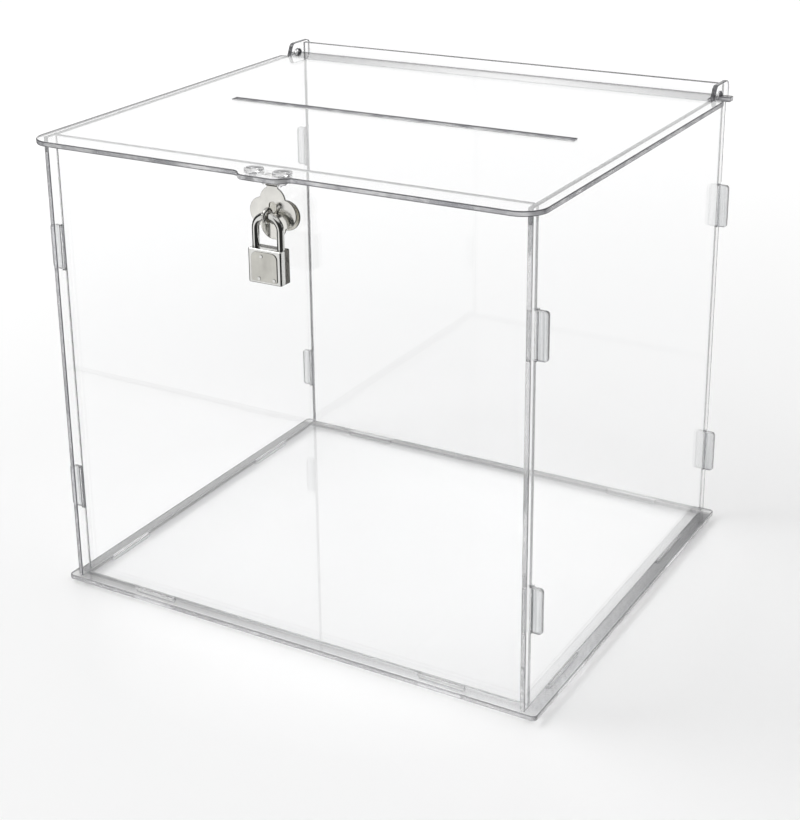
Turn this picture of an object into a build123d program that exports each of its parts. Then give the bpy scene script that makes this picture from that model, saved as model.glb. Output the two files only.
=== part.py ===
"""A clear ballot box whose lid is shut by a metal hasp, a ring staple and a small padlock.

X runs along the front, from left to right. Y runs from the front to the back.
Z points up from the table, which the ends of the wall tabs stand on. All lengths are in millimetres.
"""
import os

from build123d import *

os.makedirs("parts", exist_ok=True)

# Case of clear sheet
sheet = 3.0
case_width = 300.0
case_depth = 270.0
wall_height = 273.25
foot_drop = 2.5
base_margin = 7.0
base_front_margin = 1.5
base_corner = 3.0
front_inset = 6.0
rear_inset = 3.0
back_rise = 9.0

# Tabs at the ends of the front and back panels, heights counted from the base's top
end_tab_tall = 26.5
end_tab_reach = 6.0
end_tab_round = 2.0
front_tab_heights = (57.5, 209.0)
back_tab_heights = (43.0, 206.5)

# Tabs under the walls, places counted from the middle of the box
front_foot_wide = 28.0
front_foot_out = 97.0
back_foot_wide = 34.0
back_foot_out = 99.0
side_foot_long = 37.0
side_foot_ahead = 85.0
side_foot_behind = 74.0

# Lid, its pivot tabs and the ears that carry them
hinge_inset = 11.5
pivot_tab_long = 6.0
pivot_hole_clearance = 0.35
lid_front_overhang = 11.0
lid_left_overhang = 3.3
lid_right_overhang = 7.0
lid_side_clearance = 0.3
lid_wide_stop = 12.5
lid_front_round = 14.0
lid_rear_round = 2.0
ear_foot_ahead = 11.5
ear_shoulder_ahead = 6.5
ear_rear_behind = 15.5
ear_rise = 10.0
ear_drop = 3.0
ear_front_round = 4.0
ear_rear_round = 5.0
ear_heel_round = 2.0

# Ballot slot and front tongue
ballot_slot_long = 222.6
ballot_slot_wide = 5.0
ballot_slot_side = 4.6
ballot_slot_ahead = 10.5
tongue_root_wide = 38.0
tongue_tip_wide = 17.0
tongue_reach = 6.0

# Hasp, which sits a little right of the middle
hasp_side = 4.4
screw_spacing = 17.4
screw_setback = 5.0
screw_head_radius = 5.2
screw_head_deep = 2.4
screw_rim_tall = 0.8
screw_stem_radius = 2.0
screw_end = 1.0
screw_drive_wide = 1.2
screw_drive_deep = 1.0
bracket_thick = 2.0
bracket_wide = 24.0
bracket_setback = 0.8
bracket_corner = 2.0
lug_wide = 2.0
leaf_setback = 8.5
leaf_thick = 1.0
leaf_lobe_radius = 7.8
leaf_lobe_out = 6.4
leaf_drop = 22.8
leaf_neck_wide = 6.8
leaf_slot_wide = 4.5
leaf_slot_tall = 12.0
leaf_edge_round = 0.25
hinge_pin_radius = 0.8
knuckle_wall = 0.8
knuckle_clearance = 0.3
lug_clearance = 0.2
running_clearance = 0.06

# Ring staple on the front panel
ring_ahead = 14.0
ring_hole_radius = 2.5
ring_wire_radius = 0.95
shank_radius = 1.0
shank_tail = 0.6
staple_plate_wide = 22.4
staple_plate_tall = 16.2
staple_plate_thick = 1.2
staple_plate_below = 3.1
staple_nut_wide = 5.0
staple_nut_thick = 2.4
rivet_spacing = 14.6
rivet_radius = 1.1
rivet_head_radius = 1.7
rivet_head_tall = 0.5

# Padlock
lock_wide = 20.6
lock_tall = 18.6
lock_deep = 8.8
lock_side_round = 1.1
lock_edge_round = 0.7
lock_top_drop = 40.2
shackle_radius = 2.0
shackle_spacing = 15.4
shackle_seat = 0.1
bow_flat = 1.2
shackle_bore_clearance = 0.12
long_leg_deep = 15.0
short_leg_deep = 6.2
leg_end_chamfer = 0.4
unlock_drop = 6.8
face_plate_wide = 15.8
face_plate_tall = 15.8
face_plate_thick = 0.5
face_plate_top_round = 3.2
face_plate_low_round = 1.2
lock_rivet_radius = 0.9
lock_rivet_proud = 0.25
lock_rivet_deep = 0.7
lock_rivet_left_side = 3.2
lock_rivet_right_side = 6.1
lock_rivet_high_side = 1.6
lock_rivet_low = 2.9
lock_rivet_high = 3.6
key_plug_radius = 3.2
key_plug_nose_radius = 2.7
key_plug_nose_tall = 3.0
key_plug_gap = 0.4
keyway_wide = 0.8
keyway_long = 3.6
keyway_deep = 5.0
drive_pin_radius = 0.6
latch_top_drop = 1.8
latch_thick = 1.4
latch_half_deep = 2.9
latch_tail = 0.6
latch_travel = 3.2
latch_bite = 0.6
latch_clearance = 0.15
latch_drop_room = 1.5
keeper_radius = 0.6
keeper_bite = 0.5
keeper_drop = 5.5
keeper_room = 0.5

# Heights and places that follow from the sizes
base_top = foot_drop + sheet
wall_top = base_top + wall_height
lid_top = wall_top + sheet
side_out = case_width / 2
side_in = side_out - sheet
front_edge = (lid_front_overhang + tongue_reach + hinge_inset - ear_rear_behind - case_depth) / 2
rear_edge = front_edge + case_depth
case_middle = (front_edge + rear_edge) / 2
front_face = front_edge + front_inset
back_face = rear_edge - rear_inset - sheet
hinge_y = rear_edge - hinge_inset
hinge_z = wall_top + sheet / 2
lid_front = front_edge - lid_front_overhang
lid_left = -side_out - lid_left_overhang
lid_right = side_out + lid_right_overhang
lid_middle = (lid_left + lid_right) / 2
tab_out = side_out + end_tab_reach
ring_y = front_face - ring_ahead
ring_z = lid_top - leaf_drop
lock_top = lid_top - lock_top_drop
lock_base = lock_top - lock_tall


def across(y):
    """Upright plane at y: the sketch's x is X and its y is Z."""
    return Plane.XZ.offset(-y)


def front_back_panel(face_y, tall, tab_heights, foot_wide, foot_out, holes=()):
    """Upright panel between the side panels, with end tabs, feet and any drilled holes."""
    with BuildPart() as panel:
        with BuildSketch(across(face_y)):
            for tab_height in tab_heights:
                with Locations((0, base_top + tab_height)):
                    Rectangle(2 * tab_out, end_tab_tall)
            fillet(vertices(), radius=end_tab_round)
            with Locations((0, base_top)):
                Rectangle(2 * side_in, tall, align=(Align.CENTER, Align.MIN))
            with Locations((-foot_out, 0), (foot_out, 0)):
                Rectangle(foot_wide, base_top, align=(Align.CENTER, Align.MIN))
            for hole_x, hole_z, hole_radius in holes:
                with Locations((hole_x, hole_z)):
                    Circle(hole_radius, mode=Mode.SUBTRACT)
        extrude(amount=-sheet)
    return panel


def side_panel(inner_x):
    """Side panel with an ear for the lid's pivot, slots for the end tabs, and feet."""
    with BuildPart() as panel:
        with BuildSketch(Plane.YZ.offset(inner_x)):
            with BuildLine():
                Polyline(
                    (hinge_y - ear_foot_ahead, wall_top),
                    (hinge_y - ear_shoulder_ahead, wall_top + ear_rise),
                    (hinge_y + ear_rear_behind, wall_top + ear_rise),
                    (hinge_y + ear_rear_behind, wall_top - ear_drop),
                    (hinge_y - ear_foot_ahead, wall_top - ear_drop),
                    close=True,
                )
            make_face()
            fillet(vertices().group_by(Axis.Y)[-1].sort_by(Axis.X)[0], radius=ear_front_round)
            fillet(vertices().group_by(Axis.Y)[-1].sort_by(Axis.X)[-1], radius=ear_rear_round)
            fillet(vertices().group_by(Axis.Y)[0].sort_by(Axis.X)[-1], radius=ear_heel_round)
            with Locations((front_edge, base_top)):
                Rectangle(case_depth, wall_height, align=(Align.MIN, Align.MIN))
            with Locations((case_middle - side_foot_ahead, 0), (case_middle + side_foot_behind, 0)):
                Rectangle(side_foot_long, base_top, align=(Align.CENTER, Align.MIN))
            for tab_height in front_tab_heights:
                with Locations((front_face, base_top + tab_height)):
                    Rectangle(sheet, end_tab_tall, align=(Align.MIN, Align.CENTER), mode=Mode.SUBTRACT)
            for tab_height in back_tab_heights:
                with Locations((back_face, base_top + tab_height)):
                    Rectangle(sheet, end_tab_tall, align=(Align.MIN, Align.CENTER), mode=Mode.SUBTRACT)
            with Locations((hinge_y, hinge_z)):
                Circle(pivot_hole_radius, mode=Mode.SUBTRACT)
        extrude(amount=sheet)
    return panel


# The pivot tab is a flat bar that turns inside a round hole
pivot_hole_radius = ((pivot_tab_long / 2) ** 2 + (sheet / 2) ** 2) ** 0.5 + pivot_hole_clearance

# Base panel
with BuildPart() as base_panel:
    with BuildSketch(Plane.XY.offset(foot_drop)):
        with Locations((0, case_middle - base_front_margin / 2)):
            RectangleRounded(case_width + 2 * base_margin, case_depth + base_front_margin, base_corner)
        with Locations((-front_foot_out, front_face), (front_foot_out, front_face)):
            Rectangle(front_foot_wide, sheet, align=(Align.CENTER, Align.MIN), mode=Mode.SUBTRACT)
        with Locations((-back_foot_out, back_face), (back_foot_out, back_face)):
            Rectangle(back_foot_wide, sheet, align=(Align.CENTER, Align.MIN), mode=Mode.SUBTRACT)
        for foot_x in (-side_in - sheet / 2, side_in + sheet / 2):
            with Locations((foot_x, case_middle - side_foot_ahead), (foot_x, case_middle + side_foot_behind)):
                Rectangle(sheet, side_foot_long, mode=Mode.SUBTRACT)
    extrude(amount=sheet)
base_panel.part.label = "base_panel"
export_step(base_panel.part, "parts/base_panel.step")

# Front panel, drilled for the staple's shank and rivets
rivet_z = ring_z - staple_plate_below
rivet_places = (hasp_side - rivet_spacing / 2, hasp_side + rivet_spacing / 2)
staple_holes = [(hasp_side, ring_z, shank_radius)]
staple_holes += [(rivet_x, rivet_z, rivet_radius) for rivet_x in rivet_places]
front_panel = front_back_panel(front_face, wall_height, front_tab_heights,
                               front_foot_wide, front_foot_out, staple_holes)
front_panel.part.label = "front_panel"
export_step(front_panel.part, "parts/front_panel.step")

# Back panel, which stands up behind the lid
back_panel = front_back_panel(back_face, wall_height + back_rise, back_tab_heights,
                              back_foot_wide, back_foot_out)
back_panel.part.label = "back_panel"
export_step(back_panel.part, "parts/back_panel.step")

# Side panels
left_panel = side_panel(-side_out)
left_panel.part.label = "left_panel"
export_step(left_panel.part, "parts/left_panel.step")
right_panel = side_panel(side_in)
right_panel.part.label = "right_panel"
export_step(right_panel.part, "parts/right_panel.step")

# Lid panel: wide in front of the ears, narrow between them, with a pivot tab at each side
screw_y = lid_front + screw_setback
screw_places = (hasp_side - screw_spacing / 2, hasp_side + screw_spacing / 2)
screw_foot = -sheet - bracket_thick - screw_end
screw_hole_outline = [
    (0, 0),
    (screw_head_radius, 0),
    (screw_stem_radius, -screw_head_deep),
    (screw_stem_radius, screw_foot),
    (0, screw_foot),
]
lid_wide_rear = hinge_y - lid_wide_stop
lid_rear = hinge_y + pivot_tab_long / 2
tongue_tip = lid_front - tongue_reach
with BuildPart() as lid_panel:
    with BuildSketch(Plane.XY.offset(wall_top)):
        with Locations((lid_middle, lid_front)):
            Rectangle(lid_right - lid_left, lid_wide_rear - lid_front, align=(Align.CENTER, Align.MIN))
        fillet(vertices().group_by(Axis.Y)[0], radius=lid_front_round)
        fillet(vertices().group_by(Axis.Y)[-1], radius=lid_rear_round)
        with Locations((0, lid_rear)):
            Rectangle(2 * (side_in - lid_side_clearance), lid_rear - hinge_y + lid_wide_stop + sheet,
                      align=(Align.CENTER, Align.MAX))
        with Locations((lid_middle, hinge_y)):
            Rectangle(lid_right - lid_left, pivot_tab_long)
        with BuildLine():
            left_bend = Spline((hasp_side - tongue_root_wide / 2, lid_front),
                               (hasp_side - tongue_tip_wide / 2, tongue_tip), tangents=((1, 0), (1, 0)))
            tip_edge = Line(left_bend @ 1, (hasp_side + tongue_tip_wide / 2, tongue_tip))
            right_bend = Spline(tip_edge @ 1, (hasp_side + tongue_root_wide / 2, lid_front),
                                tangents=((1, 0), (1, 0)))
            Line(right_bend @ 1, left_bend @ 0)
        make_face()
        with Locations((ballot_slot_side, case_middle - ballot_slot_ahead)):
            Rectangle(ballot_slot_long, ballot_slot_wide, mode=Mode.SUBTRACT)
    extrude(amount=sheet)
    for screw_x in screw_places:
        with BuildSketch(Plane((screw_x, screw_y, lid_top), x_dir=(1, 0, 0), z_dir=(0, -1, 0))):
            with BuildLine():
                Polyline(*screw_hole_outline, close=True)
            make_face()
        revolve(axis=Axis((screw_x, screw_y, 0), (0, 0, 1)), mode=Mode.SUBTRACT)
lid_panel.part.label = "lid_panel"
export_step(lid_panel.part, "parts/lid_panel.step")

# Clear countersunk screws, each with a raised rim and a straight drive slot
screw_outline = [(0, screw_rim_tall), (screw_head_radius, screw_rim_tall)] + screw_hole_outline[1:]
with BuildPart() as hasp_screws:
    for screw_x in screw_places:
        with BuildSketch(Plane((screw_x, screw_y, lid_top), x_dir=(1, 0, 0), z_dir=(0, -1, 0))):
            with BuildLine():
                Polyline(*screw_outline, close=True)
            make_face()
        revolve(axis=Axis((screw_x, screw_y, 0), (0, 0, 1)))
    with BuildSketch(Plane.XY.offset(lid_top + screw_rim_tall)):
        for screw_x in screw_places:
            with Locations((screw_x, screw_y)):
                Rectangle(2 * screw_head_radius, screw_drive_wide)
    extrude(amount=-screw_drive_deep, mode=Mode.SUBTRACT)
hasp_screws.part.label = "hasp_screws"
export_step(hasp_screws.part, "parts/hasp_screws.step")

# Clear hasp bracket: a flange under the tongue, with two lugs that hold the hinge pin
knuckle_radius = hinge_pin_radius + knuckle_wall
leaf_y = lid_front + leaf_setback
pin_z = wall_top - bracket_thick - knuckle_clearance - knuckle_radius
lug_inner = leaf_neck_wide / 2 + lug_clearance
bracket_rear = leaf_y + knuckle_radius
with BuildPart() as hasp_bracket:
    with BuildSketch(Plane.XY.offset(wall_top)):
        with Locations((hasp_side, lid_front + bracket_setback)):
            Rectangle(bracket_wide, bracket_rear - lid_front - bracket_setback, align=(Align.CENTER, Align.MIN))
        fillet(vertices(), radius=bracket_corner)
        for screw_x in screw_places:
            with Locations((screw_x, screw_y)):
                Circle(screw_stem_radius, mode=Mode.SUBTRACT)
    extrude(amount=-bracket_thick)
    for lug_x in (hasp_side - lug_inner - lug_wide, hasp_side + lug_inner):
        with BuildSketch(Plane.YZ.offset(lug_x)):
            with Locations((leaf_y, pin_z)):
                Circle(knuckle_radius)
                Rectangle(2 * knuckle_radius, wall_top - bracket_thick - pin_z, align=(Align.CENTER, Align.MIN))
                Circle(hinge_pin_radius, mode=Mode.SUBTRACT)
        extrude(amount=lug_wide)
hasp_bracket.part.label = "hasp_bracket"
export_step(hasp_bracket.part, "parts/hasp_bracket.step")

# Pin the leaf turns on, pressed into both lugs
with BuildPart() as hasp_hinge_pin:
    with BuildSketch(Plane.YZ.offset(hasp_side - lug_inner - lug_wide)):
        with Locations((leaf_y, pin_z)):
            Circle(hinge_pin_radius)
    extrude(amount=2 * (lug_inner + lug_wide))
hasp_hinge_pin.part.label = "hasp_hinge_pin"
export_step(hasp_hinge_pin.part, "parts/hasp_hinge_pin.step")

# Hasp leaf: four round lobes about a slot, on a neck that ends in a knuckle
leaf_z = lid_top - leaf_drop
with BuildPart() as hasp_leaf:
    with BuildSketch(across(leaf_y - leaf_thick / 2)):
        with Locations((hasp_side, leaf_z)):
            with PolarLocations(leaf_lobe_out, 4):
                Circle(leaf_lobe_radius)
        with Locations((hasp_side, leaf_z)):
            Rectangle(leaf_neck_wide, pin_z - leaf_z, align=(Align.CENTER, Align.MIN))
            SlotOverall(leaf_slot_tall, leaf_slot_wide, rotation=90, mode=Mode.SUBTRACT)
    extrude(amount=-leaf_thick)
    with BuildSketch(Plane.YZ.offset(hasp_side - leaf_neck_wide / 2)):
        with Locations((leaf_y, pin_z)):
            Circle(knuckle_radius)
    extrude(amount=leaf_neck_wide)
    with BuildSketch(Plane.YZ.offset(hasp_side - leaf_neck_wide / 2)):
        with Locations((leaf_y, pin_z)):
            Circle(hinge_pin_radius + running_clearance)
    extrude(amount=leaf_neck_wide, mode=Mode.SUBTRACT)
hasp_leaf.part.label = "hasp_leaf"
export_step(hasp_leaf.part, "parts/hasp_leaf.step")

# Staple plate against the front panel
plate_face = front_face - staple_plate_thick
with BuildPart() as staple_plate:
    with BuildSketch(across(plate_face)):
        with Locations((hasp_side, rivet_z)):
            SlotOverall(staple_plate_wide, staple_plate_tall)
        with Locations((hasp_side, ring_z)):
            Circle(shank_radius, mode=Mode.SUBTRACT)
        for rivet_x in rivet_places:
            with Locations((rivet_x, rivet_z)):
                Circle(rivet_radius, mode=Mode.SUBTRACT)
    extrude(amount=-staple_plate_thick)
staple_plate.part.label = "staple_plate"
export_step(staple_plate.part, "parts/staple_plate.step")

# Staple ring: an eye that stands upright across the panel, with its shank through the panel
nut_rear = front_face + sheet + staple_nut_thick
ring_radius = ring_hole_radius + ring_wire_radius
with BuildPart() as staple_ring:
    with BuildSketch(across(ring_y)):
        with Locations((hasp_side, ring_z + ring_radius)):
            Circle(ring_wire_radius)
    revolve(axis=Axis((hasp_side, ring_y, ring_z), (1, 0, 0)))
    with BuildSketch(across(ring_y + ring_radius)):
        with Locations((hasp_side, ring_z)):
            Circle(shank_radius)
    extrude(amount=ring_y + ring_radius - nut_rear - shank_tail)
staple_ring.part.label = "staple_ring"
export_step(staple_ring.part, "parts/staple_ring.step")

# Nut on the shank, inside the box
with BuildPart() as staple_nut:
    with BuildSketch(across(front_face + sheet)):
        with Locations((hasp_side, ring_z)):
            RegularPolygon(staple_nut_wide / 2, 6, major_radius=False)
            Circle(shank_radius, mode=Mode.SUBTRACT)
    extrude(amount=-staple_nut_thick)
staple_nut.part.label = "staple_nut"
export_step(staple_nut.part, "parts/staple_nut.step")

# Two rivets through the staple plate and the panel, with a head at each end
with BuildPart() as staple_rivets:
    for rivet_x in rivet_places:
        with BuildSketch(across(plate_face - rivet_head_tall)):
            with Locations((rivet_x, rivet_z)):
                Circle(rivet_head_radius)
        extrude(amount=-rivet_head_tall)
        with BuildSketch(across(plate_face)):
            with Locations((rivet_x, rivet_z)):
                Circle(rivet_radius)
        extrude(amount=plate_face - front_face - sheet)
        with BuildSketch(across(front_face + sheet)):
            with Locations((rivet_x, rivet_z)):
                Circle(rivet_head_radius)
        extrude(amount=-rivet_head_tall)
staple_rivets.part.label = "staple_rivets"
export_step(staple_rivets.part, "parts/staple_rivets.step")

# Shackle: its bow rests in the staple's ring, the long leg on the left
bow_top = ring_z - ring_hole_radius + shackle_seat + shackle_radius
bow_bend = (shackle_spacing - bow_flat) / 2
bow_z = bow_top - bow_bend
long_leg_x = hasp_side - shackle_spacing / 2
short_leg_x = hasp_side + shackle_spacing / 2
keeper_x = long_leg_x + shackle_radius + keeper_radius - keeper_bite
keeper_z = lock_top - keeper_drop
latch_top = lock_top - latch_top_drop
latch_base = latch_top - latch_thick
latch_tip = short_leg_x - shackle_radius + latch_bite
latch_tip_room = latch_tip + latch_clearance
with BuildPart() as shackle:
    for leg_x, leg_deep, turn in ((long_leg_x, long_leg_deep, 1), (short_leg_x, short_leg_deep, -1)):
        with BuildSketch(Plane.XY.offset(bow_z)):
            with Locations((leg_x, ring_y)):
                Circle(shackle_radius)
        revolve(axis=Axis((leg_x + turn * bow_bend, ring_y, bow_z), (0, turn, 0)), revolution_arc=90)
        with BuildSketch(Plane.XY.offset(bow_z)):
            with Locations((leg_x, ring_y)):
                Circle(shackle_radius)
        extrude(amount=lock_top - leg_deep - bow_z)
    with BuildSketch(Plane.YZ.offset(hasp_side - bow_flat / 2)):
        with Locations((ring_y, bow_top)):
            Circle(shackle_radius)
    extrude(amount=bow_flat)
    chamfer(edges().group_by(Axis.Z)[0], length=leg_end_chamfer)
    with BuildSketch(across(ring_y - shackle_radius)):
        with Locations((latch_tip_room, latch_top + latch_clearance)):
            Rectangle(shackle_radius, latch_thick + latch_clearance + latch_drop_room, align=(Align.MAX, Align.MAX))
        with Locations((keeper_x - keeper_radius - keeper_room / 2, keeper_z + keeper_radius + keeper_room)):
            Rectangle(shackle_radius, unlock_drop + 2 * (keeper_radius + keeper_room), align=(Align.MIN, Align.MAX))
    extrude(amount=-2 * shackle_radius, mode=Mode.SUBTRACT)
shackle.part.label = "shackle"
export_step(shackle.part, "parts/shackle.step")

# Padlock body: bores for both legs and the key plug, and a pocket for the latch
bore_radius = shackle_radius + shackle_bore_clearance
plug_top = latch_base - latch_clearance - key_plug_gap
latch_rear = hasp_side - latch_tail
lock_front = ring_y - lock_deep / 2
lock_rivet_places = (
    (hasp_side - lock_rivet_high_side, lock_top - lock_rivet_high),
    (hasp_side - lock_rivet_left_side, lock_base + lock_rivet_low),
    (hasp_side + lock_rivet_right_side, lock_base + lock_rivet_low),
)
with BuildPart() as padlock_body:
    with BuildSketch(Plane.XY.offset(lock_base)):
        with Locations((hasp_side, ring_y)):
            RectangleRounded(lock_wide, lock_deep, lock_side_round)
    extrude(amount=lock_tall)
    fillet(edges().group_by(Axis.Z)[0] + edges().group_by(Axis.Z)[-1], radius=lock_edge_round)
    with BuildSketch(Plane.XY.offset(lock_top)):
        with Locations((long_leg_x, ring_y)):
            Circle(bore_radius)
    extrude(amount=-long_leg_deep - key_plug_gap, mode=Mode.SUBTRACT)
    with BuildSketch(Plane.XY.offset(lock_top)):
        with Locations((short_leg_x, ring_y)):
            Circle(bore_radius)
    extrude(amount=-short_leg_deep - key_plug_gap, mode=Mode.SUBTRACT)
    with BuildSketch(Plane.XY.offset(latch_base - latch_clearance)):
        with Locations((latch_tip_room, ring_y)):
            Rectangle(latch_tip_room - latch_rear + latch_travel + latch_clearance,
                      2 * (latch_half_deep + latch_clearance), align=(Align.MAX, Align.CENTER))
    extrude(amount=latch_thick + 2 * latch_clearance, mode=Mode.SUBTRACT)
    plug_shoulder = lock_base + key_plug_nose_tall
    with BuildSketch(Plane.XY.offset(plug_shoulder - running_clearance)):
        with Locations((hasp_side, ring_y)):
            Circle(key_plug_radius + running_clearance)
    extrude(amount=latch_base - plug_shoulder, mode=Mode.SUBTRACT)
    with BuildSketch(Plane.XY.offset(lock_base)):
        with Locations((hasp_side, ring_y)):
            Circle(key_plug_nose_radius + running_clearance)
    extrude(amount=key_plug_nose_tall, mode=Mode.SUBTRACT)
    with BuildSketch(across(lock_front)):
        with Locations((keeper_x, keeper_z)):
            Circle(keeper_radius)
        for rivet_x, rivet_up in lock_rivet_places:
            with Locations((rivet_x, rivet_up)):
                Circle(lock_rivet_radius)
    extrude(amount=-lock_rivet_deep, mode=Mode.SUBTRACT)
    with BuildSketch(across(lock_front)):
        with Locations((keeper_x, keeper_z)):
            Circle(keeper_radius)
    extrude(amount=-lock_deep, mode=Mode.SUBTRACT)
padlock_body.part.label = "padlock_body"
export_step(padlock_body.part, "parts/padlock_body.step")

# Pin that keeps the long leg in the body, its ends under the face plates
with BuildPart() as shackle_keeper:
    with BuildSketch(across(lock_front)):
        with Locations((keeper_x, keeper_z)):
            Circle(keeper_radius)
    extrude(amount=-lock_deep)
shackle_keeper.part.label = "shackle_keeper"
export_step(shackle_keeper.part, "parts/shackle_keeper.step")

# Plates on the padlock's front and back, rounder at the top
plate_rise = lock_base + (lock_tall - face_plate_tall) / 2
with BuildPart() as padlock_face_plate:
    with BuildSketch(across(lock_front)):
        with Locations((hasp_side, plate_rise)):
            Rectangle(face_plate_wide, face_plate_tall, align=(Align.CENTER, Align.MIN))
        fillet(vertices().group_by(Axis.Y)[-1], radius=face_plate_top_round)
        fillet(vertices().group_by(Axis.Y)[0], radius=face_plate_low_round)
        for rivet_x, rivet_up in lock_rivet_places:
            with Locations((rivet_x, rivet_up)):
                Circle(lock_rivet_radius, mode=Mode.SUBTRACT)
    extrude(amount=face_plate_thick)
padlock_face_plate.part.label = "padlock_face_plate"
export_step(padlock_face_plate.part, "parts/padlock_face_plate.step")

with BuildPart() as padlock_back_plate:
    with BuildSketch(across(lock_front + lock_deep)):
        with Locations((hasp_side, plate_rise)):
            Rectangle(face_plate_wide, face_plate_tall, align=(Align.CENTER, Align.MIN))
        fillet(vertices().group_by(Axis.Y)[-1], radius=face_plate_top_round)
        fillet(vertices().group_by(Axis.Y)[0], radius=face_plate_low_round)
    extrude(amount=-face_plate_thick)
padlock_back_plate.part.label = "padlock_back_plate"
export_step(padlock_back_plate.part, "parts/padlock_back_plate.step")

# Rivets of the face plate
with BuildPart() as padlock_rivets:
    with BuildSketch(across(lock_front + lock_rivet_deep)):
        for rivet_x, rivet_up in lock_rivet_places:
            with Locations((rivet_x, rivet_up)):
                Circle(lock_rivet_radius)
    extrude(amount=lock_rivet_deep + face_plate_thick + lock_rivet_proud)
padlock_rivets.part.label = "padlock_rivets"
export_step(padlock_rivets.part, "parts/padlock_rivets.step")

# Key plug: a nose with the keyway, a wider barrel, and a drive pin off its middle for the latch
drive_x = hasp_side + latch_travel / 2
drive_y = ring_y + latch_travel / 2
with BuildPart() as key_plug:
    with BuildSketch(Plane.XY.offset(lock_base)):
        with Locations((hasp_side, ring_y)):
            Circle(key_plug_nose_radius)
    extrude(amount=key_plug_nose_tall)
    with BuildSketch(Plane.XY.offset(plug_shoulder)):
        with Locations((hasp_side, ring_y)):
            Circle(key_plug_radius)
    extrude(amount=plug_top - plug_shoulder)
    with BuildSketch(Plane.XY.offset(plug_top)):
        with Locations((drive_x, drive_y)):
            Circle(drive_pin_radius)
    extrude(amount=latch_top - latch_clearance - plug_top)
    with BuildSketch(Plane.XY.offset(lock_base)):
        with Locations((hasp_side, ring_y)):
            Rectangle(keyway_long, keyway_wide)
    extrude(amount=keyway_deep, mode=Mode.SUBTRACT)
key_plug.part.label = "key_plug"
export_step(key_plug.part, "parts/key_plug.step")

# Latch bolt: the drive pin moves it out of the short leg's notch
with BuildPart() as latch_bolt:
    with BuildSketch(Plane.XY.offset(latch_base)):
        with Locations((latch_tip, ring_y)):
            Rectangle(latch_tip - latch_rear, 2 * latch_half_deep, align=(Align.MAX, Align.CENTER))
        with Locations((drive_x, drive_y - drive_pin_radius - latch_clearance)):
            Rectangle(2 * (drive_pin_radius + latch_clearance), latch_half_deep,
                      align=(Align.CENTER, Align.MIN), mode=Mode.SUBTRACT)
    extrude(amount=latch_thick)
latch_bolt.part.label = "latch_bolt"
export_step(latch_bolt.part, "parts/latch_bolt.step")
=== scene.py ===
"""A clear ballot box with a metal hasp and a small padlock, dressed for a pale studio."""

import math

import bpy
from mathutils import Matrix, Vector

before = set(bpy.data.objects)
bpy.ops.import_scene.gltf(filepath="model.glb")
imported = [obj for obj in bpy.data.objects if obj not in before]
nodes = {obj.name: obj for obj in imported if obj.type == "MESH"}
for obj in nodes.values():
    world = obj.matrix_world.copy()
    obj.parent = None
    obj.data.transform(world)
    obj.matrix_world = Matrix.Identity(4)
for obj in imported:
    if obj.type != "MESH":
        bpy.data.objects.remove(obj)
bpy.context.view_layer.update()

# Directions, and how far a pattern is stretched along each
ACROSS, ALONG, UPWARDS = (1, 0, 0), (0, 1, 0), (0, 0, 1)
EVEN = (1.0, 1.0, 1.0)

# Clear sheets. Cut edges go in patches of painted shade and painted highlight from edge_dark to
# edge_light, line is the colour of the painted dark lines at the broken corners and face that of the flat
# sides. The lid and the left wall carry the darkest painted shade, the right wall the palest. edge_clear
# and line_clear are the shares of light that the edges and the corners let through.
SHEET_IOR = 1.49
EDGE_ROUGHNESS = 0.12
CLEAR_FACE = (0.996, 0.997, 0.998, 1)
BASE_LOOK = {"edge_dark": (0.80, 0.803, 0.82, 1), "edge_light": (0.99, 0.99, 0.995, 1),
             "line": (0.36, 0.36, 0.37, 1), "face": CLEAR_FACE, "edge_clear": 0.76, "line_clear": 0.45}
LID_LOOK = {"edge_dark": (0.50, 0.503, 0.53, 1), "edge_light": (0.995, 0.995, 1.0, 1),
            "line": (0.08, 0.08, 0.088, 1), "face": (0.980, 0.981, 0.983, 1),
            "edge_clear": 0.68, "line_clear": 0.12}
WALL_LOOK = {"edge_dark": (0.78, 0.783, 0.805, 1), "edge_light": (0.98, 0.983, 0.99, 1),
             "line": (0.26, 0.26, 0.275, 1), "face": CLEAR_FACE, "edge_clear": 0.78, "line_clear": 0.40}
LEFT_LOOK = {"edge_dark": (0.70, 0.703, 0.725, 1), "edge_light": (0.96, 0.963, 0.98, 1),
             "line": (0.13, 0.13, 0.145, 1), "face": CLEAR_FACE, "edge_clear": 0.74, "line_clear": 0.28}
RIGHT_LOOK = {"edge_dark": (0.93, 0.933, 0.94, 1), "edge_light": (0.995, 0.995, 0.998, 1),
              "line": (0.60, 0.60, 0.61, 1), "face": CLEAR_FACE, "edge_clear": 0.90, "line_clear": 0.70}
SCREW_LOOK = {"edge_dark": (0.88, 0.88, 0.885, 1), "edge_light": (0.95, 0.95, 0.955, 1),
              "line": (0.55, 0.55, 0.56, 1), "face": (0.99, 0.99, 0.99, 1),
              "edge_clear": 1.0, "line_clear": 0.85}

# Patches of painted shade and painted highlight on the cut edges: scale, and where the dark ends and the
# light starts
FINE_PATCHES = (260.0, 0.35, 0.70)
BROAD_PATCHES = (75.0, 0.40, 0.62)

# How squarely a surface looks along the sheet's thin axis: on its faces, and on its cut edges
FACE_FROM, FACE_FULL = 0.90, 0.995
EDGE_FULL, EDGE_TO = 0.04, 0.22
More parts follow.
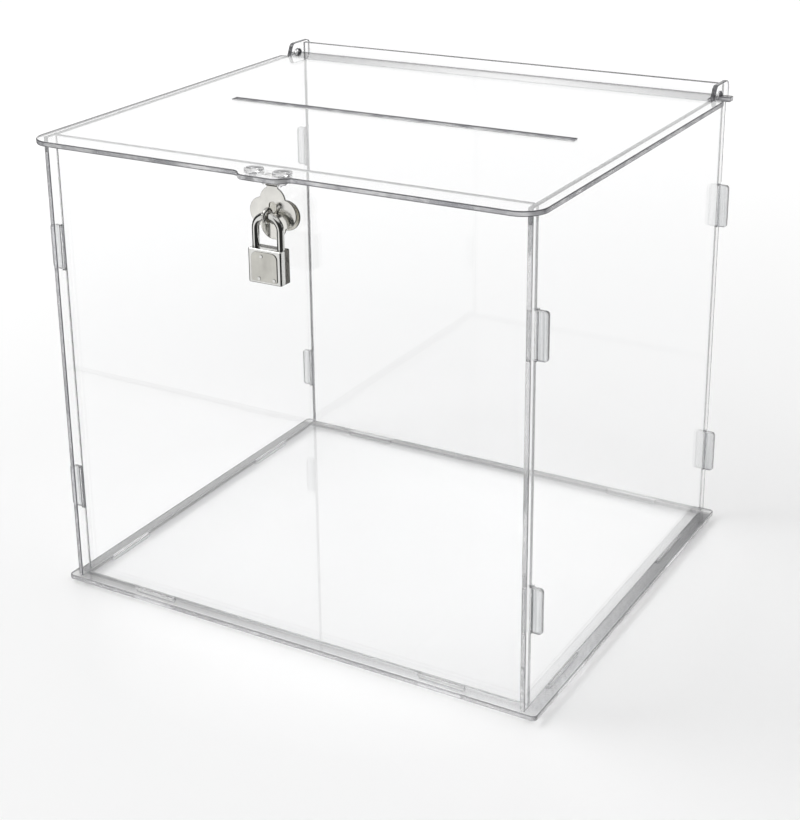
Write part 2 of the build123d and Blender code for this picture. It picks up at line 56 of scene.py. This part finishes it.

# Streaked greys of painted shade and painted reflection, and their darkest and lightest tints
STREAK_STRETCH, STREAK_SCALE, STREAK_DETAIL = (1.0, 1.0, 0.03), 620.0, 1.0
STREAK_DARK_TO, STREAK_LIGHT_FROM = 0.32, 0.68
# Painted shade on the tabs
TAB_SHADE_GREYS = ((0.50, 0.51, 0.52, 1), (0.90, 0.905, 0.91, 1))
# Painted reflection along the lid's rear
LID_REAR_REFLECTION_GREYS = ((0.38, 0.382, 0.39, 1), (0.46, 0.462, 0.47, 1))
# Painted shade on the base rim
RIM_SHADE_GREYS = ((0.74, 0.742, 0.75, 1), (0.92, 0.922, 0.93, 1))

# Places on the panels, in metres, each with the fade at its border
FADE, RIM_FADE, STRIP_FADE = 0.0003, 0.0004, 0.0015
# Tabs: painted shade on their faces from TAB_ROOT, and a paler painted line on their edges from TAB_FROM
TAB_ROOT, TAB_FROM, TAB_LINE = 0.1472, 0.1504, (0.72, 0.72, 0.73, 1)
# Wall feet with edges of less painted shade; wall tops and ears with painted shade on their edges,
# darkest at the ears
FOOT_TO, FOOT_PAINTED_LIGHT = 0.0062, (0.93, 0.93, 0.935, 1)
TOP_FROM, TOP_PAINTED_SHADE = 0.2722, (0.30, 0.30, 0.31, 1)
EAR_FROM, EAR_PAINTED_SHADE = 0.2800, (0.16, 0.16, 0.17, 1)
# Lid: painted dark lines at the left and rear edges, and a painted reflection strip along the rear
LID_LEFT, LID_BACK, LID_LINE = 0.1509, 0.1302, (0.13, 0.13, 0.135, 1)
LID_STRIP_FROM, LID_STRIP_MIDDLE = 0.1150, 0.02
LID_STRIP_FAINT_TO, LID_STRIP_FULL_FROM, LID_STRIP_FAINT, LID_STRIP_FULL = 0.02, 0.14, 0.28, 0.95
# Base: painted shade on the rim under the walls and at the sides, deeper away from the front right corner
BASE_MIDDLE = 0.0065
UNDER_SIDES, UNDER_ENDS, OUTSIDE_ENDS = 0.1470, 0.1260, 0.1292
UNDER_STRENGTH, OUTSIDE_LESS = 0.95, 0.68
# Foot slots in the base: their edges get less painted shade
SLOTS_TO_SIDES, SLOTS_TO_ENDS = 0.1530, 0.1330
SHADE_CORNER, SHADE_FROM, SHADE_TO = (0.157, -0.130, 0.004), 0.05, 0.27
SHADE_STRENGTH, SHADE_TINT = 0.75, (0.13, 0.13, 0.135, 1)

# Clear moulded plastic of the bracket
MOULDING_IOR, MOULDING_ROUGHNESS = 1.2, 0.03
MOULDING_TINTS = ((0.96, 0.96, 0.965, 1), (0.99, 0.99, 0.99, 1))
FLOW_SCALE, FLOW_FROM, FLOW_TO = 120.0, 0.30, 0.70

# Metal finishes: tints, roughness, grain and the strength of its bump. A rim of painted shade, a painted
# dark reflection, starts where a surface looks less squarely along its plate's thin axis.
BUMP_DEPTH = 0.0002
GRAIN_DETAIL, GRAIN_FROM, GRAIN_TO = 4.0, 0.30, 0.75
TARNISH_SCALE, TARNISH_FROM, TARNISH_TO = 90.0, 0.30, 0.72
RIM_STARTS, RIM_FULL, METAL_RIM_SHADE = 0.93, 0.55, (0.11, 0.105, 0.095, 1)
NICKEL = {"dark": (0.66, 0.65, 0.62, 1), "light": (0.80, 0.79, 0.75, 1), "rough": (0.10, 0.22),
          "stretch": (1, 1, 0.08), "grain": 900.0, "bump": 0.10}
CHROME = {"dark": (0.62, 0.62, 0.60, 1), "light": (0.76, 0.76, 0.74, 1), "rough": (0.05, 0.13),
          "stretch": (1, 1, 0.1), "grain": 700.0, "bump": 0.06}
SATIN = {"dark": (0.56, 0.55, 0.51, 1), "light": (0.70, 0.69, 0.64, 1), "rough": (0.28, 0.42),
         "stretch": (1, 1, 0.05), "grain": 1400.0, "bump": 0.25}
BRASS = {"dark": (0.62, 0.50, 0.26, 1), "light": (0.74, 0.62, 0.36, 1), "rough": (0.18, 0.30),
         "stretch": EVEN, "grain": 900.0, "bump": 0.1}
STEEL = {"dark": (0.42, 0.42, 0.42, 1), "light": (0.55, 0.55, 0.55, 1), "rough": (0.25, 0.40),
         "stretch": (0.1, 1, 1), "grain": 900.0, "bump": 0.1}
# The padlock body's painted shade on its rims starts past this point along Y
LOCK_RIM_FROM = -0.1372

# Small edges: welding distance, air between touching sheets, bends that count as flat and as sharp, and
# widths of the broken edges
WELD = 0.00001
AIR_GAP = 0.00003
FLAT_WITHIN, SHARP_FROM = math.radians(0.5), math.radians(40)
PANEL_EASE = 0.0006
SMALL_EASES = {"hasp_leaf": 0.0002, "hasp_bracket": 0.00025, "staple_plate": 0.0003,
               "padlock_face_plate": 0.00015, "padlock_back_plate": 0.00015, "staple_nut": 0.0002}


def grey(level):
    """Neutral colour of one level."""
    return (level, level, level, 1)


def new_material(name):
    """An empty node material with its shader and output joined."""
    material = bpy.data.materials.new(name)
    material.use_nodes = True
    tree = material.node_tree
    tree.nodes.clear()
    out = tree.nodes.new("ShaderNodeOutputMaterial")
    shader = tree.nodes.new("ShaderNodeBsdfPrincipled")
    tree.links.new(shader.outputs["BSDF"], out.inputs["Surface"])
    return material, tree, shader


def stretched_noise(tree, stretch, scale, detail=3.0):
    """Noise on object coordinates, stretched along the axes."""
    place = tree.nodes.new("ShaderNodeTexCoord")
    turn = tree.nodes.new("ShaderNodeMapping")
    turn.inputs["Scale"].default_value = stretch
    noise = tree.nodes.new("ShaderNodeTexNoise")
    noise.inputs["Scale"].default_value = scale
    noise.inputs["Detail"].default_value = detail
    tree.links.new(place.outputs["Object"], turn.inputs["Vector"])
    tree.links.new(turn.outputs["Vector"], noise.inputs["Vector"])
    return noise.outputs["Fac"]


def ramp(tree, source, low, high, dark, light):
    """Colour from dark at low to light at high."""
    node = tree.nodes.new("ShaderNodeValToRGB")
    first, last = node.color_ramp.elements
    first.position, first.color = low, dark
    last.position, last.color = high, light
    tree.links.new(source, node.inputs["Fac"])
    return node.outputs["Color"]


def value_range(tree, source, low, high, out_low, out_high):
    """Maps a value from low..high to out_low..out_high, and holds it at their ends."""
    node = tree.nodes.new("ShaderNodeMapRange")
    for name, value in (("From Min", low), ("From Max", high), ("To Min", out_low), ("To Max", out_high)):
        node.inputs[name].default_value = value
    tree.links.new(source, node.inputs["Value"])
    return node.outputs["Result"]


def beyond(tree, source, limit, fade):
    """1 where a value is past the limit, 0 before it, with a short fade."""
    return value_range(tree, source, limit - fade, limit + fade, 0.0, 1.0)


def math_node(tree, operation, first, second=None):
    """One math step; each side is a socket or a number."""
    node = tree.nodes.new("ShaderNodeMath")
    node.operation = operation
    for slot, value in ((0, first), (1, second)):
        if value is None:
            continue
        if isinstance(value, (int, float)):
            node.inputs[slot].default_value = value
        else:
            tree.links.new(value, node.inputs[slot])
    return node.outputs[0]


def vector_value(tree, operation, source, fixed):
    """Dot product or distance of a vector and a fixed one."""
    node = tree.nodes.new("ShaderNodeVectorMath")
    node.operation = operation
    node.inputs[1].default_value = fixed
    tree.links.new(source, node.inputs[0])
    return node.outputs["Value"]


def mixed(tree, factor, first, second):
    """Colour from first at 0 to second at 1; each is a socket or a colour."""
    node = tree.nodes.new("ShaderNodeMix")
    node.data_type = "RGBA"
    tree.links.new(factor, node.inputs["Factor"])
    for name, value in (("A", first), ("B", second)):
        if isinstance(value, tuple):
            node.inputs[name].default_value = value
        else:
            tree.links.new(value, node.inputs[name])
    return node.outputs["Result"]


def squareness(tree, place, axis):
    """How squarely a surface looks along an axis, from 0 to 1."""
    return math_node(tree, "ABSOLUTE", vector_value(tree, "DOT_PRODUCT", place.outputs["Normal"], axis))


def from_middle(tree, source, middle=0.0):
    """How far a coordinate lies to either side of a middle."""
    return math_node(tree, "ABSOLUTE", math_node(tree, "SUBTRACT", source, middle))


def past_base_limits(tree, spot, sides, ends):
    """1 past a limit at the base's sides or at its front and rear ends."""
    at_sides = beyond(tree, from_middle(tree, spot.outputs["X"]), sides, RIM_FADE)
    at_ends = beyond(tree, from_middle(tree, spot.outputs["Y"], BASE_MIDDLE), ends, RIM_FADE)
    return math_node(tree, "MAXIMUM", at_sides, at_ends)


def streaked_shade_and_reflection(tree, dark, light):
    """Fine grey streaking of painted shade and painted reflection."""
    fine = stretched_noise(tree, STREAK_STRETCH, STREAK_SCALE, STREAK_DETAIL)
    return ramp(tree, fine, STREAK_DARK_TO, STREAK_LIGHT_FROM, dark, light)


def tabbed_faces(tree, place, spot, face):
    """Streaked painted shade on the tabs in and outside the side panels."""
    on_tab = beyond(tree, from_middle(tree, spot.outputs["X"]), TAB_ROOT, FADE)
    return mixed(tree, on_tab, face, streaked_shade_and_reflection(tree, *TAB_SHADE_GREYS))


def lid_faces(tree, place, spot, face):
    """Painted reflection: a grey strip along the rear, fainter in the middle; painted dark lines at the
    left and rear edges.
    """
    off_middle = from_middle(tree, spot.outputs["X"], LID_STRIP_MIDDLE)
    strength = value_range(tree, off_middle, LID_STRIP_FAINT_TO, LID_STRIP_FULL_FROM,
                           LID_STRIP_FAINT, LID_STRIP_FULL)
    at_rear = beyond(tree, spot.outputs["Y"], LID_STRIP_FROM, STRIP_FADE)
    strip = math_node(tree, "MULTIPLY", at_rear, strength)
    face = mixed(tree, strip, face, streaked_shade_and_reflection(tree, *LID_REAR_REFLECTION_GREYS))
    leftwards = math_node(tree, "MULTIPLY", spot.outputs["X"], -1.0)
    at_left = beyond(tree, leftwards, LID_LEFT, FADE)
    at_back = beyond(tree, spot.outputs["Y"], LID_BACK, FADE)
    return mixed(tree, math_node(tree, "MAXIMUM", at_left, at_back), face, LID_LINE)


def base_faces(tree, place, spot, face):
    """Painted shade: a grey rim under the walls and at the sides, faint at the ends, darker far from the
    front right.
    """
    under = past_base_limits(tree, spot, UNDER_SIDES, UNDER_ENDS)
    outside = beyond(tree, from_middle(tree, spot.outputs["Y"], BASE_MIDDLE), OUTSIDE_ENDS, RIM_FADE)
    rim = math_node(tree, "SUBTRACT", math_node(tree, "MULTIPLY", under, UNDER_STRENGTH),
                    math_node(tree, "MULTIPLY", outside, OUTSIDE_LESS))
    off_corner = vector_value(tree, "DISTANCE", place.outputs["Object"], SHADE_CORNER)
    shade = value_range(tree, off_corner, SHADE_FROM, SHADE_TO, 0.0, SHADE_STRENGTH)
    return mixed(tree, rim, face, mixed(tree, shade, streaked_shade_and_reflection(tree, *RIM_SHADE_GREYS), SHADE_TINT))


def base_edges(tree, spot, cut):
    """Edges with less painted shade in the slots for the feet."""
    return mixed(tree, past_base_limits(tree, spot, SLOTS_TO_SIDES, SLOTS_TO_ENDS), FOOT_PAINTED_LIGHT, cut)


def wall_edges(tree, spot, cut):
    """Edges with less painted shade at the feet, painted shade at the top and the darkest painted shade
    at the ears.
    """
    height = spot.outputs["Z"]
    cut = mixed(tree, beyond(tree, height, FOOT_TO, FADE), FOOT_PAINTED_LIGHT, cut)
    cut = mixed(tree, beyond(tree, height, TOP_FROM, FADE), cut, TOP_PAINTED_SHADE)
    return mixed(tree, beyond(tree, height, EAR_FROM, FADE), cut, EAR_PAINTED_SHADE)


def tabbed_wall_edges(tree, spot, cut):
    """Wall edges with a paler painted line where the tabs stand out."""
    stands_out = beyond(tree, from_middle(tree, spot.outputs["X"]), TAB_FROM, FADE)
    return wall_edges(tree, spot, mixed(tree, stands_out, cut, TAB_LINE))


def clear_sheet(name, thin_axis, look, patches, face_paint=None, edge_paint=None):
    """Clear polished sheet: nearly white faces, frosted edges in painted shade and painted highlight,
    thin painted dark lines at the corners.
    """
    material, tree, shader = new_material(name)
    shader.inputs["IOR"].default_value = SHEET_IOR
    place = tree.nodes.new("ShaderNodeTexCoord")
    spot = tree.nodes.new("ShaderNodeSeparateXYZ")
    tree.links.new(place.outputs["Object"], spot.inputs[0])
    facing = squareness(tree, place, thin_axis)
    on_face = value_range(tree, facing, FACE_FROM, FACE_FULL, 0.0, 1.0)
    off_edge = value_range(tree, facing, EDGE_FULL, EDGE_TO, 0.0, 1.0)
    on_line = math_node(tree, "MULTIPLY", off_edge, math_node(tree, "SUBTRACT", 1.0, on_face))

    scale, dark_to, light_from = patches
    # Painted shade and painted highlight in patches on the cut edges, with painted dark lines at the
    # corners
    edge = ramp(tree, stretched_noise(tree, EVEN, scale), dark_to, light_from,
                look["edge_dark"], look["edge_light"])
    cut = mixed(tree, on_line, edge, look["line"])
    if edge_paint:
        cut = edge_paint(tree, spot, cut)
    face = look["face"]
    if face_paint:
        face = face_paint(tree, place, spot, face)
    tree.links.new(mixed(tree, on_face, cut, face), shader.inputs["Base Color"])

    rough = value_range(tree, on_face, 0.0, 1.0, EDGE_ROUGHNESS, 0.0)
    tree.links.new(rough, shader.inputs["Roughness"])
    frosted = value_range(tree, on_face, 0.0, 1.0, look["edge_clear"], 1.0)
    lost = math_node(tree, "MULTIPLY", on_line, look["edge_clear"] - look["line_clear"])
    tree.links.new(math_node(tree, "SUBTRACT", frosted, lost), shader.inputs["Transmission Weight"])
    return material


def clear_moulding(name):
    """Clear moulded plastic of the bracket, nearly the same as the sheet around it."""
    material, tree, shader = new_material(name)
    shader.inputs["Transmission Weight"].default_value = 1.0
    shader.inputs["IOR"].default_value = MOULDING_IOR
    flow = stretched_noise(tree, EVEN, FLOW_SCALE)
    tree.links.new(ramp(tree, flow, FLOW_FROM, FLOW_TO, *MOULDING_TINTS), shader.inputs["Base Color"])
    rough = value_range(tree, flow, FLOW_FROM, FLOW_TO, 0.0, MOULDING_ROUGHNESS)
    tree.links.new(rough, shader.inputs["Roughness"])
    return material


def plated_metal(name, finish, rim_axis=None, rim_from=None):
    """Metal with a fine grain and slight tarnish, with painted shade at its rims, or only at those past
    rim_from.
    """
    material, tree, shader = new_material(name)
    shader.inputs["Metallic"].default_value = 1.0
    grain = stretched_noise(tree, finish["stretch"], finish["grain"], GRAIN_DETAIL)
    tarnish = stretched_noise(tree, EVEN, TARNISH_SCALE)
    tint = ramp(tree, tarnish, TARNISH_FROM, TARNISH_TO, finish["dark"], finish["light"])
    if rim_axis:
        place = tree.nodes.new("ShaderNodeTexCoord")
        rim = value_range(tree, squareness(tree, place, rim_axis), RIM_FULL, RIM_STARTS, 1.0, 0.0)
        if rim_from is not None:
            spot = tree.nodes.new("ShaderNodeSeparateXYZ")
            tree.links.new(place.outputs["Object"], spot.inputs[0])
            rim = math_node(tree, "MULTIPLY", rim, beyond(tree, spot.outputs["Y"], rim_from, FADE))
        tint = mixed(tree, rim, tint, METAL_RIM_SHADE)
    tree.links.new(tint, shader.inputs["Base Color"])
    rough = value_range(tree, grain, GRAIN_FROM, GRAIN_TO, *finish["rough"])
    tree.links.new(rough, shader.inputs["Roughness"])
    bump = tree.nodes.new("ShaderNodeBump")
    bump.inputs["Strength"].default_value = finish["bump"]
    bump.inputs["Distance"].default_value = BUMP_DEPTH
    tree.links.new(grain, bump.inputs["Height"])
    tree.links.new(bump.outputs["Normal"], shader.inputs["Normal"])
    return material


def dress(name, material):
    """Gives a node its material."""
    piece = nodes[name]
    piece.data.materials.clear()
    piece.data.materials.append(material)


def joined(name):
    """Joins a node's faces at their edges."""
    weld = nodes[name].modifiers.new("joined", "WELD")
    weld.merge_threshold = WELD


def air_gap(name):
    """Draws a node's faces in a little, so that sheets that touch keep air between them."""
    drawn_in = nodes[name].modifiers.new("air_gap", "DISPLACE")
    drawn_in.direction = "NORMAL"
    drawn_in.mid_level = 0.0
    drawn_in.strength = -AIR_GAP


def ease_edges(name, width):
    """Breaks a node's sharp edges so that they catch the light, and keeps flat faces flat."""
    piece = nodes[name]
    merged = piece.modifiers.new("merged_flats", "DECIMATE")
    merged.decimate_type = "DISSOLVE"
    merged.angle_limit = FLAT_WITHIN
    bevel = piece.modifiers.new("eased", "BEVEL")
    bevel.width = width
    bevel.segments = 2
    bevel.limit_method = "ANGLE"
    bevel.angle_limit = SHARP_FROM
    bevel.use_clamp_overlap = False
    bevel.loop_slide = False
    flat = piece.modifiers.new("flat_faces", "WEIGHTED_NORMAL")
    flat.mode = "FACE_AREA"
    flat.weight = 100


# Clear parts
for panel, thin_axis, look, patches, face_paint, edge_paint in (
        ("base_panel", UPWARDS, BASE_LOOK, BROAD_PATCHES, base_faces, base_edges),
        ("lid_panel", UPWARDS, LID_LOOK, BROAD_PATCHES, lid_faces, None),
        ("front_panel", ALONG, WALL_LOOK, FINE_PATCHES, tabbed_faces, tabbed_wall_edges),
        ("back_panel", ALONG, WALL_LOOK, FINE_PATCHES, tabbed_faces, tabbed_wall_edges),
        ("left_panel", ACROSS, LEFT_LOOK, FINE_PATCHES, None, wall_edges),
        ("right_panel", ACROSS, RIGHT_LOOK, FINE_PATCHES, None, wall_edges)):
    dress(panel, clear_sheet("clear_" + panel, thin_axis, look, patches, face_paint, edge_paint))
    joined(panel)
    air_gap(panel)
    ease_edges(panel, PANEL_EASE)
dress("hasp_screws", clear_sheet("clear_screw", UPWARDS, SCREW_LOOK, BROAD_PATCHES))
dress("hasp_bracket", clear_moulding("clear_bracket"))

# Metal parts; those given a rim axis get painted shade at their rims
for material_name, finish, rim_axis, rim_from, pieces in (
        ("hasp_nickel", NICKEL, None, None,
         ("hasp_hinge_pin", "staple_ring", "staple_nut", "staple_rivets")),
        ("hasp_nickel_plate", NICKEL, ALONG, None, ("hasp_leaf", "staple_plate")),
        ("lock_chrome", CHROME, None, None, ("shackle", "shackle_keeper")),
        ("lock_chrome_rivet", CHROME, ALONG, None, ("padlock_rivets",)),
        ("lock_chrome_body", CHROME, ALONG, LOCK_RIM_FROM, ("padlock_body",)),
        ("lock_face", SATIN, ALONG, None, ("padlock_face_plate", "padlock_back_plate")),
        ("plug_brass", BRASS, None, None, ("key_plug",)),
        ("latch_steel", STEEL, None, None, ("latch_bolt",))):
    metal = plated_metal(material_name, finish, rim_axis, rim_from)
    for piece_name in pieces:
        dress(piece_name, metal)
for piece_name, width in SMALL_EASES.items():
    joined(piece_name)
    ease_edges(piece_name, width)

# Pale floor, turned to the camera, with painted light: a faint glow far away and under the box
CAMERA_TURN, CAMERA_DIP, CAMERA_ROLL = math.radians(31.48), math.radians(19.44), math.radians(-1.17)
FLOOR_WIDE, FLOOR_LONG, FLOOR_AHEAD, FLOOR_BELOW = 3.4, 6.0, 1.2, 0.0002
GLOW_FROM, GLOW_TO, GLOW = 0.32, 1.2, 0.19
UNDER_FROM, UNDER_TO, UNDER_GLOW = 0.09, 0.22, 0.07
bpy.ops.mesh.primitive_plane_add(size=1.0)
floor = bpy.context.object
floor.name = "floor"
floor.scale = (FLOOR_WIDE, FLOOR_LONG, 1)
away = Vector((-math.sin(CAMERA_TURN), math.cos(CAMERA_TURN), 0))
floor.location = away * FLOOR_AHEAD + Vector((0, 0, -FLOOR_BELOW))
floor.rotation_euler = (0, 0, CAMERA_TURN)
floor_paint, tree, shader = new_material("floor_white")
shader.inputs["Base Color"].default_value = grey(0.93)
shader.inputs["Roughness"].default_value = 0.35
place = tree.nodes.new("ShaderNodeTexCoord")
in_metres = tree.nodes.new("ShaderNodeVectorMath")
in_metres.operation = "MULTIPLY"
in_metres.inputs[1].default_value = (FLOOR_WIDE, FLOOR_LONG, 0)
tree.links.new(place.outputs["Object"], in_metres.inputs[0])
off_box = vector_value(tree, "DISTANCE", in_metres.outputs["Vector"], (0, -FLOOR_AHEAD, 0))
# Painted light: the floor emits faintly far off and under the box
far_glow = value_range(tree, off_box, GLOW_FROM, GLOW_TO, 0.0, GLOW)
under_glow = value_range(tree, off_box, UNDER_FROM, UNDER_TO, UNDER_GLOW, 0.0)
shader.inputs["Emission Color"].default_value = grey(1)
tree.links.new(math_node(tree, "ADD", far_glow, under_glow), shader.inputs["Emission Strength"])
floor.data.materials.append(floor_paint)
floor.visible_glossy = False

# Surround: white where it is seen directly or through the sheets. Reflections see a dark wall with
# white windows, each given by its middle and half width as shares of a full turn, and white overhead.
WINDOWS = ((0.175, 0.055), (0.667, 0.045), (0.83, 0.055))
WINDOW_FADE = 0.012
OVERHEAD_FROM, OVERHEAD_FULL = 0.55, 0.75
DARK, WHITE, SCATTERED_WHITE = 0.03, 1.0, 0.80
world = bpy.data.worlds.new("white_surround")
bpy.context.scene.world = world
world.use_nodes = True
tree = world.node_tree
way = tree.nodes.new("ShaderNodeTexCoord")
round_about = tree.nodes.new("ShaderNodeTexGradient")
round_about.gradient_type = "RADIAL"
tree.links.new(way.outputs["Generated"], round_about.inputs["Vector"])
wall = tree.nodes.new("ShaderNodeValToRGB")
stops = wall.color_ramp.elements
for end in stops:
    end.color = grey(DARK)
for middle, half_wide in WINDOWS:
    for share, level in ((middle - half_wide - WINDOW_FADE, DARK), (middle - half_wide, WHITE),
                         (middle + half_wide, WHITE), (middle + half_wide + WINDOW_FADE, DARK)):
        stops.new(share).color = grey(level)
tree.links.new(round_about.outputs["Fac"], wall.inputs["Fac"])
heights = tree.nodes.new("ShaderNodeSeparateXYZ")
tree.links.new(way.outputs["Generated"], heights.inputs[0])
overhead = value_range(tree, heights.outputs["Z"], OVERHEAD_FROM, OVERHEAD_FULL, 0.0, 1.0)
ray = tree.nodes.new("ShaderNodeLightPath")
scattered = value_range(tree, ray.outputs["Diffuse Depth"], 0.0, 1.0, 0.0, 1.0)
turned = math_node(tree, "ADD", ray.outputs["Glossy Depth"], ray.outputs["Diffuse Depth"])
straight = value_range(tree, turned, 0.0, 1.0, 1.0, 0.0)
room = mixed(tree, overhead, wall.outputs["Color"], grey(WHITE))
room = mixed(tree, scattered, room, grey(SCATTERED_WHITE))
room = mixed(tree, straight, room, grey(WHITE))
tree.links.new(room, tree.nodes["Background"].inputs["Color"])

# Soft lamp from the left
LAMP_SPOT, LAMP_AIM, LAMP_SIZE, LAMP_POWER = Vector((-1.1, -0.5, 1.7)), Vector((0, 0, 0.1)), 0.9, 10.0
lamp = bpy.data.lights.new("key_lamp", "AREA")
lamp.shape = "SQUARE"
lamp.size = LAMP_SIZE
lamp.energy = LAMP_POWER
lamp_stand = bpy.data.objects.new("key_lamp", lamp)
bpy.context.collection.objects.link(lamp_stand)
lamp_stand.location = LAMP_SPOT
lamp_stand.rotation_euler = (LAMP_AIM - LAMP_SPOT).to_track_quat("-Z", "Y").to_euler()

# Camera where the photograph was taken from
PICTURE_WIDE, PICTURE_TALL = 800, 820
FOCAL_PIXELS = 1682.0
CENTRE_X, CENTRE_Y = 350.5, 290.7
CAMERA_SPOT = (0.471, -0.8185, 0.5085)
camera = bpy.data.cameras.new("camera")
camera.sensor_fit = "VERTICAL"
camera.sensor_height = 36.0
camera.lens = FOCAL_PIXELS / PICTURE_TALL * camera.sensor_height
camera.shift_x = (PICTURE_WIDE / 2 - CENTRE_X) / PICTURE_TALL
camera.shift_y = (CENTRE_Y - PICTURE_TALL / 2) / PICTURE_TALL
camera.clip_start = 0.01
camera_stand = bpy.data.objects.new("camera", camera)
bpy.context.collection.objects.link(camera_stand)
turn = Matrix.Rotation(CAMERA_TURN, 4, "Z") @ Matrix.Rotation(math.radians(90) - CAMERA_DIP, 4, "X")
turn = turn @ Matrix.Rotation(CAMERA_ROLL, 4, "Z")
camera_stand.matrix_world = Matrix.Translation(CAMERA_SPOT) @ turn

# Many bounces, because sight lines pass through up to a dozen sheet faces
scene = bpy.context.scene
scene.camera = camera_stand
scene.view_settings.view_transform = "Standard"
scene.cycles.max_bounces = 64
scene.cycles.glossy_bounces = 64
scene.cycles.transmission_bounces = 64
scene.cycles.diffuse_bounces = 8
scene.cycles.blur_glossy = 0.0
